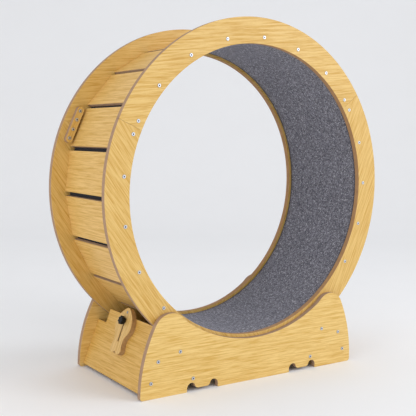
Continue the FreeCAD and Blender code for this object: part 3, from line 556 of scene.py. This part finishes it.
def stand_outline():
    """The cuts of a side panel's outline from its left foot, over the top to the right."""
    foot = Vector((STAND_HALF - FOOT_CORNER_R, FOOT_CORNER_R))
    saddle = Vector((0, AXIS.z))
    crown_drop = math.sqrt((SADDLE_R + CROWN_R - CROWN_LAP) ** 2 - CROWN_X ** 2)
    crown = Vector((CROWN_X, AXIS.z - crown_drop))
    inset = STAND_HALF - CROWN_X
    side_r = (CROWN_R ** 2 - (crown.y - foot.y) ** 2 - inset ** 2) / (2 * (CROWN_R - inset))
    side = Vector((STAND_HALF - side_r, FOOT_CORNER_R))
    way = saddle - crown
    to_crown, to_saddle = CROWN_R + BLEND_R, SADDLE_R - BLEND_R
    along = (way.length ** 2 + to_crown ** 2 - to_saddle ** 2) / (2 * way.length)
    aside = math.sqrt(to_crown ** 2 - along ** 2)
    way.normalize()
    blend = crown + way * along + Vector((-way.y, way.x)) * aside
    corners = [(foot + Vector((0, -FOOT_CORNER_R)), foot),
               (foot + Vector((FOOT_CORNER_R, 0)), side),
               (side + (crown - side).normalized() * side_r, crown),
               (crown + (blend - crown).normalized() * CROWN_R, blend),
               (saddle + (blend - saddle).normalized() * SADDLE_R, saddle)]
    ends = [point for point, centre in corners[1:]] + [saddle - Vector((0, SADDLE_R))]
    right = [(centre, turn_from(centre, point, end)) for (point, centre), end in zip(corners, ends)]
    cuts = [(centre.x, centre.y, turn) for centre, turn in right]
    cuts += [(-centre.x, centre.y, turn) for centre, turn in reversed(right)]
    first = corners[0][0]
    return (first.x, first.y), cuts + [(first.x, first.y)]


def notch_tool():
    """The cutter for one foot notch: two round arches with a flat toe between them."""
    outer_r = NOTCH_HALF - NOTCH_ARCH_X
    outer_y = NOTCH_ARCH_TOP - outer_r
    inner_y = NOTCH_ARCH_TOP - NOTCH_ARCH_R
    turn_y = inner_y + NOTCH_ARCH_R * math.cos(NOTCH_ARCH_SWEEP)
    turn_x = NOTCH_ARCH_X - NOTCH_ARCH_R * math.sin(NOTCH_ARCH_SWEEP)
    toe_r = (turn_y - NOTCH_TOE) / (1 - math.cos(NOTCH_ARCH_SWEEP))
    toe_x = turn_x - toe_r * math.sin(NOTCH_ARCH_SWEEP)
    below = -PANEL_T
    right = [(NOTCH_ARCH_X, outer_y, math.pi / 2), (NOTCH_ARCH_X, inner_y, NOTCH_ARCH_SWEEP),
             (toe_x, NOTCH_TOE + toe_r, -NOTCH_ARCH_SWEEP)]
    left = [(-x, y, turn) for x, y, turn in reversed(right)]
    return sawn((NOTCH_HALF, below), [(NOTCH_HALF, outer_y), *right, (-toe_x, NOTCH_TOE), *left,
                                      (-NOTCH_HALF, below), (NOTCH_HALF, below)], 3 * PANEL_T)


side_screws = [(END_FOOT_X - up * math.sin(END_LEAN), up * math.cos(END_LEAN)) for up in END_SCREWS]
side_screws.append(RAIL_SCREW)
panel_screw_places, axle_places = [], []
for row, outward in (("front", 1), ("rear", -1)):
    z = PANEL_T if outward > 0 else 0
    seats = [seat(side * x, y, z, outward) for x, y in side_screws for side in (-1, 1)]
    axles = [seat(side * AXLE.x, AXLE.z, z, outward) for side in (-1, 1)]
    panel = sawn(*stand_outline(), PANEL_T)
    for side in (-1, 1):
        notch = notch_tool()
        bmesh.ops.translate(notch, verts=notch.verts, vec=(side * NOTCH_X, 0, -PANEL_T))
        panel = cut_away(panel, notch)
    panel = bored(panel, seats + axles)
    eased(panel, 2 * EASE)
    veneer_laid(panel, 0)
    place = Matrix.Translation((0, PANEL_BACK[row], 0)) @ FRONT_VIEW
    bmesh.ops.transform(panel, matrix=place, verts=panel.verts)
    finished(panel, "%s_stand_board" % row, PANEL_VENEER, "stand", "stand_board",
             "%s_side_panel" % row)
    panel_screw_places += [place @ screw_seat for screw_seat in seats]
    axle_places += [place @ screw_seat for screw_seat in axles]

# --------------------------------------------------------------------------- end panels
# A leaning board closes each end of the stand, screwed between the side panels.  It has
# shoulders that clear the rings and a tongue that rises between them towards the slats.
END_LIFT = 8 * MM
END_SHOULDER = 153 * MM
END_TONGUE = 196 * MM
END_HALF = PANEL_BACK["rear"] - PANEL_T
TONGUE_HALF = 127 * MM
END_VENEER = veneered_board("end_veneer", pale=(0.715, 0.446, 0.127, 1),
                            deep=(0.525, 0.288, 0.042, 1), figure_per_m=70.0)


def end_place(side):
    """The plan of an end panel: x across it, y up its slope and z outwards."""
    across = Vector((0, side, 0))
    up_slope = Vector((-side * math.sin(END_LEAN), 0, math.cos(END_LEAN)))
    turn = Matrix((across, up_slope, across.cross(up_slope))).transposed().to_4x4()
    return Matrix.Translation((side * END_FOOT_X, 0, 0)) @ turn


for name, side in (("left", -1), ("right", 1)):
    board = sawn((-END_HALF, END_LIFT),
                 [(END_HALF, END_LIFT), (END_HALF, END_SHOULDER), (TONGUE_HALF, END_SHOULDER),
                  (TONGUE_HALF, END_TONGUE), (-TONGUE_HALF, END_TONGUE),
                  (-TONGUE_HALF, END_SHOULDER), (-END_HALF, END_SHOULDER), (-END_HALF, END_LIFT)],
                 PANEL_T)
    bmesh.ops.translate(board, verts=board.verts, vec=(0, 0, -PANEL_T / 2))
    eased(board, 2 * EASE)
    veneer_laid(board, 0)
    bmesh.ops.transform(board, matrix=end_place(side), verts=board.verts)
    finished(board, "%s_end_board" % name, END_VENEER, "stand", "stand_board",
             "%s_end_panel" % name)

# --------------------------------------------------------------------------- cross rails
# Two flat rails near the floor tie the side panels together.  Only their screws show.
RAIL_HALF_WIDTH = 30 * MM
for name, side in (("left", -1), ("right", 1)):
    low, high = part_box("%s_cross_rail" % name)
    rail = sawn((-RAIL_HALF_WIDTH, low.y),
                [(RAIL_HALF_WIDTH, low.y), (RAIL_HALF_WIDTH, high.y), (-RAIL_HALF_WIDTH, high.y),
                 (-RAIL_HALF_WIDTH, low.y)], high.z - low.z)
    eased(rail)
    veneer_laid(rail, math.pi / 2)
    bmesh.ops.translate(rail, verts=rail.verts, vec=((low.x + high.x) / 2, 0, low.z))
    finished(rail, "%s_tie_rail" % name, PANEL_VENEER, "stand", "stand_board",
             "%s_cross_rail" % name)

# -------------------------------------------------------------------------------- screws
# Zinc-plated button-head screws with a hexagon socket hold everything.  The four axle bolts
# have the same head on a plain 6 mm shank.
HEAD_PROUD = 1.0 * MM
HEAD_DOME = 0.9 * MM
SOCKET_FLATS = 4 * MM
SOCKET_DEPTH = 1.8 * MM
SOCKET_RIM_R = 0.56 * SOCKET_FLATS
SCREW_R = 2.5 * MM
SCREW_LENGTH = 50 * MM
PLATE_SCREW_LENGTH = 28 * MM
TIP_LENGTH = 4 * MM
TIP_POINT = 0.06                  # the point's width as a share of the shank's
AXLE_R = 3 * MM
AXLE_LENGTH = 35.5 * MM
# Painted shade darkens each screw's socket and the steep edge of its head.
STEEP = 0.8                       # a face of a head steeper than this lies in its shade
HEAD_SHADE = 0.4
PAINTED_SOCKET_SHADE = (0.075, 0.092, 0.14, 1)


def button_head(length, shank_r, tip_length):
    """A button-head screw along -Z, with the board's face at Z = 0."""
    bm = bmesh.new()
    depth = HEAD_PROUD + HEAD_SINK
    bmesh.ops.create_cone(bm, cap_ends=True, segments=HEAD_SIDES, radius1=HEAD_R, radius2=HEAD_R,
                          depth=depth, matrix=Matrix.Translation((0, 0, HEAD_PROUD - depth / 2)))
    rim = [e for e in bm.edges if all(v.co.z > HEAD_PROUD / 2 for v in e.verts)]
    bmesh.ops.bevel(bm, geom=rim, offset=HEAD_DOME, offset_type="OFFSET", affect="EDGES",
                    segments=3, profile=0.5, material=-1)
    top = max(bm.faces, key=lambda face: (len(face.verts), face.calc_center_median().z))
    bmesh.ops.inset_region(bm, faces=[top], thickness=HEAD_R - HEAD_DOME - SOCKET_RIM_R)
    for vert in top.verts:
        angle = math.atan2(vert.co.y, vert.co.x)
        reach = SOCKET_FLATS / 2 / math.cos((angle % (math.pi / 3)) - math.pi / 6)
        vert.co = (reach * math.cos(angle), reach * math.sin(angle), HEAD_PROUD)
    socket = bmesh.ops.extrude_discrete_faces(bm, faces=[top])["faces"]
    bmesh.ops.translate(bm, verts=socket[0].verts[:], vec=(0, 0, -SOCKET_DEPTH))
    bottom = min(bm.faces, key=lambda face: face.calc_center_median().z)
    bmesh.ops.inset_region(bm, faces=[bottom], thickness=HEAD_R - shank_r)
    shank = bmesh.ops.extrude_discrete_faces(bm, faces=[bottom])["faces"]
    bmesh.ops.translate(bm, verts=shank[0].verts[:], vec=(0, 0, HEAD_SINK + tip_length - length))
    if tip_length:
        tip = bmesh.ops.extrude_discrete_faces(bm, faces=shank)["faces"]
        bmesh.ops.translate(bm, verts=tip[0].verts[:], vec=(0, 0, -tip_length))
        bmesh.ops.scale(bm, verts=tip[0].verts[:], vec=(TIP_POINT, TIP_POINT, 1))
    bmesh.ops.recalc_face_normals(bm, faces=bm.faces)
    # Painted shade: full in the socket for its depth, and partial on the head's steep edge for the shadow
    # in its counterbore.
    painted_screw_shade = bm.faces.layers.float.new("painted_screw_shade")
    for face in bm.faces:
        middle = face.calc_center_median()
        if middle.z > -HEAD_SINK:
            in_socket = middle.xy.length < SOCKET_RIM_R
            face[painted_screw_shade] = 1.0 if in_socket else HEAD_SHADE * (face.normal.z < STEEP)
    template = bpy.data.meshes.new("screw")
    bm.to_mesh(template)
    bm.free()
    return template


def set_out(template, places):
    """A copy of a screw at each place, each turned as it happened to be tightened."""
    bm = bmesh.new()
    for place in places:
        before = len(bm.verts)
        bm.from_mesh(template)
        bm.verts.ensure_lookup_table()
        tightened = place @ Matrix.Rotation(chance.uniform(0, math.tau), 4, "Z")
        bmesh.ops.transform(bm, matrix=tightened, verts=bm.verts[before:])
    bpy.data.meshes.remove(template)
    return bm


def plated(name, colour, roughness):
    """Zinc plate, with fine turning marks and a slightly uneven shine."""
    finish = Finish(name, Metallic=1.0)
    place = finish.node("TexCoord", {}, {}, "Object")
    cloud = finish.mottled(place, 380.0)
    marks = finish.mottled(place, 2600.0)
    tone = finish.blend(cloud.between(0.3, 0.7), toned(colour, 0.72), [*colour, 1])
    # Painted shade in the socket and round the edge of each head.
    painted_screw_shade = finish.node("Attribute", {"attribute_name": "painted_screw_shade"}, {}, "Fac")
    tone = finish.blend(painted_screw_shade, tone, PAINTED_SOCKET_SHADE)
    bump = finish.node("Bump", {}, {"Height": marks, "Strength": 0.25, "Distance": 0.03 * MM})
    return finish.done(Base_Color=tone, Roughness=roughness + cloud * 0.16, Normal=bump)


ZINC = plated("bright_zinc", colour=(0.72, 0.75, 0.81), roughness=0.36)
for name, places, shape, body, node in (
        ("ring_screw_set", ring_screw_places, (SCREW_LENGTH, SCREW_R, TIP_LENGTH), "wheel",
         "ring_screws"),
        ("plate_screw_set", plate_screw_places, (PLATE_SCREW_LENGTH, SCREW_R, TIP_LENGTH), "wheel",
         "splice_screws"),
        ("stand_screw_set", panel_screw_places, (SCREW_LENGTH, SCREW_R, TIP_LENGTH), "stand",
         "panel_screws"),
        ("axle_bolt_set", axle_places, (AXLE_LENGTH, AXLE_R, 0), "stand", "axle_bolts")):
    screws = set_out(button_head(*shape), places)
    finished(screws, name, ZINC, body, "zinc_screw", node)

# ------------------------------------------------------------------------------- rollers
# Each axle bolt carries a spacer sleeve, a 19 mm ball bearing and a nut.  A flanged roller of
# natural nylon is pressed on the bearing, and the rim of the wheel rides on it.
DUST = (0.45, 0.44, 0.43, 1)


def moulded(name, colour, roughness, speckle, shine=0.45):
    """Moulded plastic with a faint sheen and dust in its texture."""
    finish = Finish(name, Specular_IOR_Level=shine)
    place = finish.node("TexCoord", {}, {}, "Object")
    cloud = finish.mottled(place, 90.0, detail=3.0)
    grit = finish.mottled(place, 1600.0)
    tone = finish.blend(cloud.between(0.3, 0.7), toned(colour, 0.86), [*colour, 1])
    tone = finish.blend(grit.between(0.58, 0.8) * speckle, tone, DUST)
    bump = finish.node("Bump", {}, {"Height": grit, "Strength": 0.3, "Distance": 0.06 * MM})
    return finish.done(Base_Color=tone, Roughness=roughness + cloud * 0.12, Normal=bump)


NYLON = moulded("natural_nylon", colour=(0.80, 0.78, 0.72), roughness=0.42, speckle=0.1)
PLAIN_STEEL = plated("plain_steel", colour=(0.40, 0.41, 0.44), roughness=0.42)
BEARING_STEEL = plated("bearing_steel", colour=(0.72, 0.73, 0.76), roughness=0.14)
kept_finishes = {"axle_spacers": PLAIN_STEEL, "axle_nuts": PLAIN_STEEL, "latch_stud": PLAIN_STEEL,
                 "bearing_inner_rings": BEARING_STEEL, "bearing_balls": BEARING_STEEL,
                 "latch_eye": PLAIN_STEEL}
for corner in ("front_left", "front_right", "rear_left", "rear_right"):
    kept_finishes["roller_" + corner] = NYLON
    kept_finishes["bearing_outer_ring_" + corner] = BEARING_STEEL
for node, finish in kept_finishes.items():
    for material_slot in frame["nodes"][node].material_slots:
        material_slot.material = finish

# ---------------------------------------------------------------------------- fish latch
# The brake is a fish sawn from 16 mm board, nose up.  It slides on a stud through its slot,
# and its eye is a steel pin.  The outline is one smooth curve each side with a forked tail,
# drawn in millimetres from the tail's tips.
LATCH_LOW = 82 * MM               # the lowered tail, up the end panel's slope
LATCH_BACK = 8.3 * MM             # from the end panel's middle plane
LATCH_T = 16 * MM
LATCH_SIDE = ((0, 138), (19.5, 128.5), (34.5, 113.5), (42.5, 96), (44.5, 81), (40.5, 68), (29, 52),
              (25, 38), (27, 25), (30.5, 11), (18.5, 0))
LATCH_FORK = ((8, 1), (0, 6.5), (-8, 1))
SLOT_HALF = 3.5
SLOT_ENDS = (38.5, 98.5)
EYE_UP = 124.5
EYE_R = 4.1
ROUND_STEPS = 16
LATCH_VENEER = veneered_board("latch_veneer", pale=(0.72, 0.470, 0.175, 1),
                              deep=(0.545, 0.325, 0.075, 1), edge=(0.46, 0.285, 0.125))


def add_loop(curve, points, smooth):
    """One closed loop of a flat curve.  Points that aren't smooth are corners."""
    spline = curve.splines.new("BEZIER")
    spline.bezier_points.add(len(points) - 1)
    spline.use_cyclic_u = True
    for bezier, point, is_smooth in zip(spline.bezier_points, points, smooth):
        bezier.co = (point[0] * MM, point[1] * MM, 0)
        bezier.handle_left_type = bezier.handle_right_type = "AUTO" if is_smooth else "VECTOR"


fish = bpy.data.curves.new("fish", "CURVE")
fish.dimensions = "2D"
fish.fill_mode = "BOTH"
fish.resolution_u = ROUND_STEPS
fish.extrude = LATCH_T / 2 - EASE
fish.bevel_depth = EASE
fish.bevel_resolution = 1
fish.offset = -EASE
left_side = [(-x, y) for x, y in LATCH_SIDE[:0:-1]]
add_loop(fish, [*LATCH_SIDE, *LATCH_FORK, *left_side],
         [True] * len(LATCH_SIDE) + [False] * len(LATCH_FORK) + [True] * len(left_side))
for low, high, radius in ((*SLOT_ENDS, SLOT_HALF), (EYE_UP, EYE_UP, EYE_R)):
    rounds = [(radius * math.cos(math.tau * i / ROUND_STEPS),
               (high if i < ROUND_STEPS / 2 else low) + radius * math.sin(math.tau * i / ROUND_STEPS))
              for i in range(ROUND_STEPS)]
    add_loop(fish, rounds, [False] * ROUND_STEPS)
flat_fish = bpy.data.objects.new("fish", fish)
bpy.context.scene.collection.objects.link(flat_fish)
bpy.context.view_layer.update()
fish_board = bmesh.new()
fish_board.from_mesh(flat_fish.evaluated_get(bpy.context.evaluated_depsgraph_get()).to_mesh())
bpy.data.objects.remove(flat_fish)
bmesh.ops.remove_doubles(fish_board, verts=fish_board.verts, dist=TOUCHING)
veneer_laid(fish_board, math.pi / 2)
latch_place = end_place(-1) @ Matrix.Translation((0, LATCH_LOW, LATCH_BACK + LATCH_T / 2))
bmesh.ops.transform(fish_board, matrix=latch_place, verts=fish_board.verts)
finished(fish_board, "fish_brake", LATCH_VENEER, "latch", "latch_board", "fish_latch")

# ------------------------------------------------------------------------------ star knob
# A black moulded star knob with seven lobes screws down on the stud and clamps the fish.
KNOB_UP = 180 * MM
KNOB_BASE = 24.6 * MM
KNOB_LOBES = 7
KNOB_R = 13 * MM
KNOB_DIP = 3.4 * MM               # depth of the hollows between the lobes
KNOB_HUB_R = 7 * MM
KNOB_HUB_T = 4 * MM
KNOB_T = 12 * MM
KNOB_EDGE = 1.2 * MM
KNOB_HOLLOW = 1.4                 # how round the hollows are
KNOB_LOBE_SIDES = 12
KNOB_FACE_RIM = 2.2 * MM
KNOB_FACE_DISH = 0.5 * MM

knob = bmesh.new()
bmesh.ops.create_circle(knob, cap_ends=True, segments=KNOB_LOBE_SIDES * KNOB_LOBES, radius=KNOB_R)
for vert in knob.verts:
    angle = math.atan2(vert.co.y, vert.co.x)
    vert.co *= 1 - KNOB_DIP / KNOB_R * (1 - abs(math.cos(KNOB_LOBES * angle / 2)) ** KNOB_HOLLOW)
star = bmesh.ops.extrude_face_region(knob, geom=knob.faces[:])["geom"]
bmesh.ops.translate(knob, verts=[v for v in star if isinstance(v, bmesh.types.BMVert)],
                    vec=(0, 0, KNOB_T))
bmesh.ops.recalc_face_normals(knob, faces=knob.faces)
rims = [e for e in knob.edges if abs(e.verts[0].co.z - e.verts[1].co.z) < TOUCHING]
bmesh.ops.bevel(knob, geom=rims, offset=KNOB_EDGE, offset_type="OFFSET", affect="EDGES",
                segments=4, profile=0.5, material=-1)
cap = max(knob.faces, key=lambda face: (len(face.verts), face.calc_center_median().z))
bmesh.ops.inset_region(knob, faces=[cap], thickness=KNOB_FACE_RIM)
bmesh.ops.inset_region(knob, faces=[cap], thickness=KNOB_FACE_DISH, depth=-KNOB_FACE_DISH)
bmesh.ops.translate(knob, verts=knob.verts, vec=(0, 0, KNOB_HUB_T))
bmesh.ops.create_cone(knob, cap_ends=True, segments=32, radius1=KNOB_HUB_R, radius2=KNOB_HUB_R,
                      depth=KNOB_HUB_T + KNOB_EDGE,
                      matrix=Matrix.Translation((0, 0, (KNOB_HUB_T + KNOB_EDGE) / 2)))
knob_place = end_place(-1) @ Matrix.Translation((0, KNOB_UP, KNOB_BASE))
bmesh.ops.transform(knob, matrix=knob_place, verts=knob.verts)
BLACK = moulded("black_moulding", colour=(0.004, 0.004, 0.005), roughness=0.40, speckle=0.0, shine=0.30)
finished(knob, "star_knob", BLACK, "knob", "knob_plastic", "clamp_knob")

# ------------------------------------------------------------------- floor, light, camera
# A pale paper sweep under the wheel, lit by large soft boxes overhead, from the front right and
# from the left, with white studio walls all round.
SWEEP_HALF = 7.0
SWEEP_BACK = 3.2
SWEEP_R = 2.4
SWEEP_TOP = 6.0
SWEEP_STEPS = 24
PAPER_DARK = (0.865, 0.869, 0.878, 1)
PAPER_LIGHT = (0.885, 0.889, 0.898, 1)
AIM = Vector((0, 0, 0.5))
CAMERA_AT = Vector((-1.4155, -1.9312, 0.7091))
CAMERA_YAW = math.radians(33.635)
CAMERA_PITCH = math.radians(6.340)
CAMERA_ROLL = math.radians(1.065)
FOCAL_PIXELS = 764.3
FRAME_PIXELS = 416.0
OPTICAL_CENTRE = (185.0, 225.0)

sweep = bmesh.new()
tip = sweep.verts.new((-SWEEP_HALF, -SWEEP_HALF, 0))
tip = bmesh.ops.extrude_vert_indiv(sweep, verts=[tip])["verts"][0]
tip.co = (-SWEEP_HALF, SWEEP_BACK, 0)
bend = bmesh.ops.spin(sweep, geom=[tip], cent=(-SWEEP_HALF, SWEEP_BACK, SWEEP_R), axis=(1, 0, 0),
                      angle=math.pi / 2, steps=SWEEP_STEPS)
tip = next(v for v in bend["geom_last"] if isinstance(v, bmesh.types.BMVert))
tip = bmesh.ops.extrude_vert_indiv(sweep, verts=[tip])["verts"][0]
tip.co = (-SWEEP_HALF, SWEEP_BACK + SWEEP_R, SWEEP_TOP)
bmesh.ops.remove_doubles(sweep, verts=sweep.verts, dist=TOUCHING)
pulled = bmesh.ops.extrude_edge_only(sweep, edges=sweep.edges[:])["geom"]
bmesh.ops.translate(sweep, verts=[v for v in pulled if isinstance(v, bmesh.types.BMVert)],
                    vec=(2 * SWEEP_HALF, 0, 0))
bmesh.ops.rotate(sweep, verts=sweep.verts, cent=(0, 0, 0), matrix=Matrix.Rotation(-CAMERA_YAW, 3, "Z"))
for face in sweep.faces:
    face.smooth = True
paper_mesh = bpy.data.meshes.new("paper_sweep")
sweep.to_mesh(paper_mesh)
sweep.free()
paper = Finish("sweep_paper", Roughness=0.85, Specular_IOR_Level=0.2)
mottle = paper.mottled(paper.node("TexCoord", {}, {}, "Object"), 3.0)
paper_mesh.materials.append(paper.done(Base_Color=paper.blend(mottle, PAPER_DARK, PAPER_LIGHT)))
paper_sweep = bpy.data.objects.new("paper_sweep", paper_mesh)
bpy.context.scene.collection.objects.link(paper_sweep)


def soft_box(name, at, size, watts, colour=(1, 1, 1)):
    """A square soft box that faces the middle of the wheel."""
    lamp = bpy.data.lights.new(name, "AREA")
    lamp.size = size
    lamp.energy = watts
    lamp.color = colour
    holder = bpy.data.objects.new(name, lamp)
    holder.location = at
    holder.rotation_euler = (AIM - Vector(at)).to_track_quat("-Z", "Y").to_euler()
    bpy.context.scene.collection.objects.link(holder)


soft_box("overhead_box", at=(0.6, -0.8, 3.6), size=2.6, watts=8)
soft_box("front_box", at=(2.7, -3.3, 2.1), size=2.2, watts=66, colour=(0.95, 0.975, 1.0))
soft_box("left_box", at=(-3.4, -1.4, 0.8), size=1.5, watts=26)

sky = bpy.data.worlds.new("studio_air")
sky.use_nodes = True
air = sky.node_tree.nodes["Background"]
air.inputs["Color"].default_value = (0.975, 0.98, 1.0, 1)
air.inputs["Strength"].default_value = 0.83
bpy.context.scene.world = sky

lens = bpy.data.cameras.new("camera")
lens.sensor_width = 36.0           # millimetres
lens.lens = FOCAL_PIXELS / FRAME_PIXELS * lens.sensor_width
lens.shift_x = 0.5 - OPTICAL_CENTRE[0] / FRAME_PIXELS
lens.shift_y = OPTICAL_CENTRE[1] / FRAME_PIXELS - 0.5
camera = bpy.data.objects.new("camera", lens)
turn = (Matrix.Rotation(-CAMERA_YAW, 4, "Z") @ Matrix.Rotation(math.pi / 2 - CAMERA_PITCH, 4, "X")
        @ Matrix.Rotation(CAMERA_ROLL, 4, "Z"))
camera.matrix_world = Matrix.Translation(CAMERA_AT) @ turn
bpy.context.scene.collection.objects.link(camera)
bpy.context.scene.camera = camera
bpy.context.scene.view_settings.view_transform = "Standard"
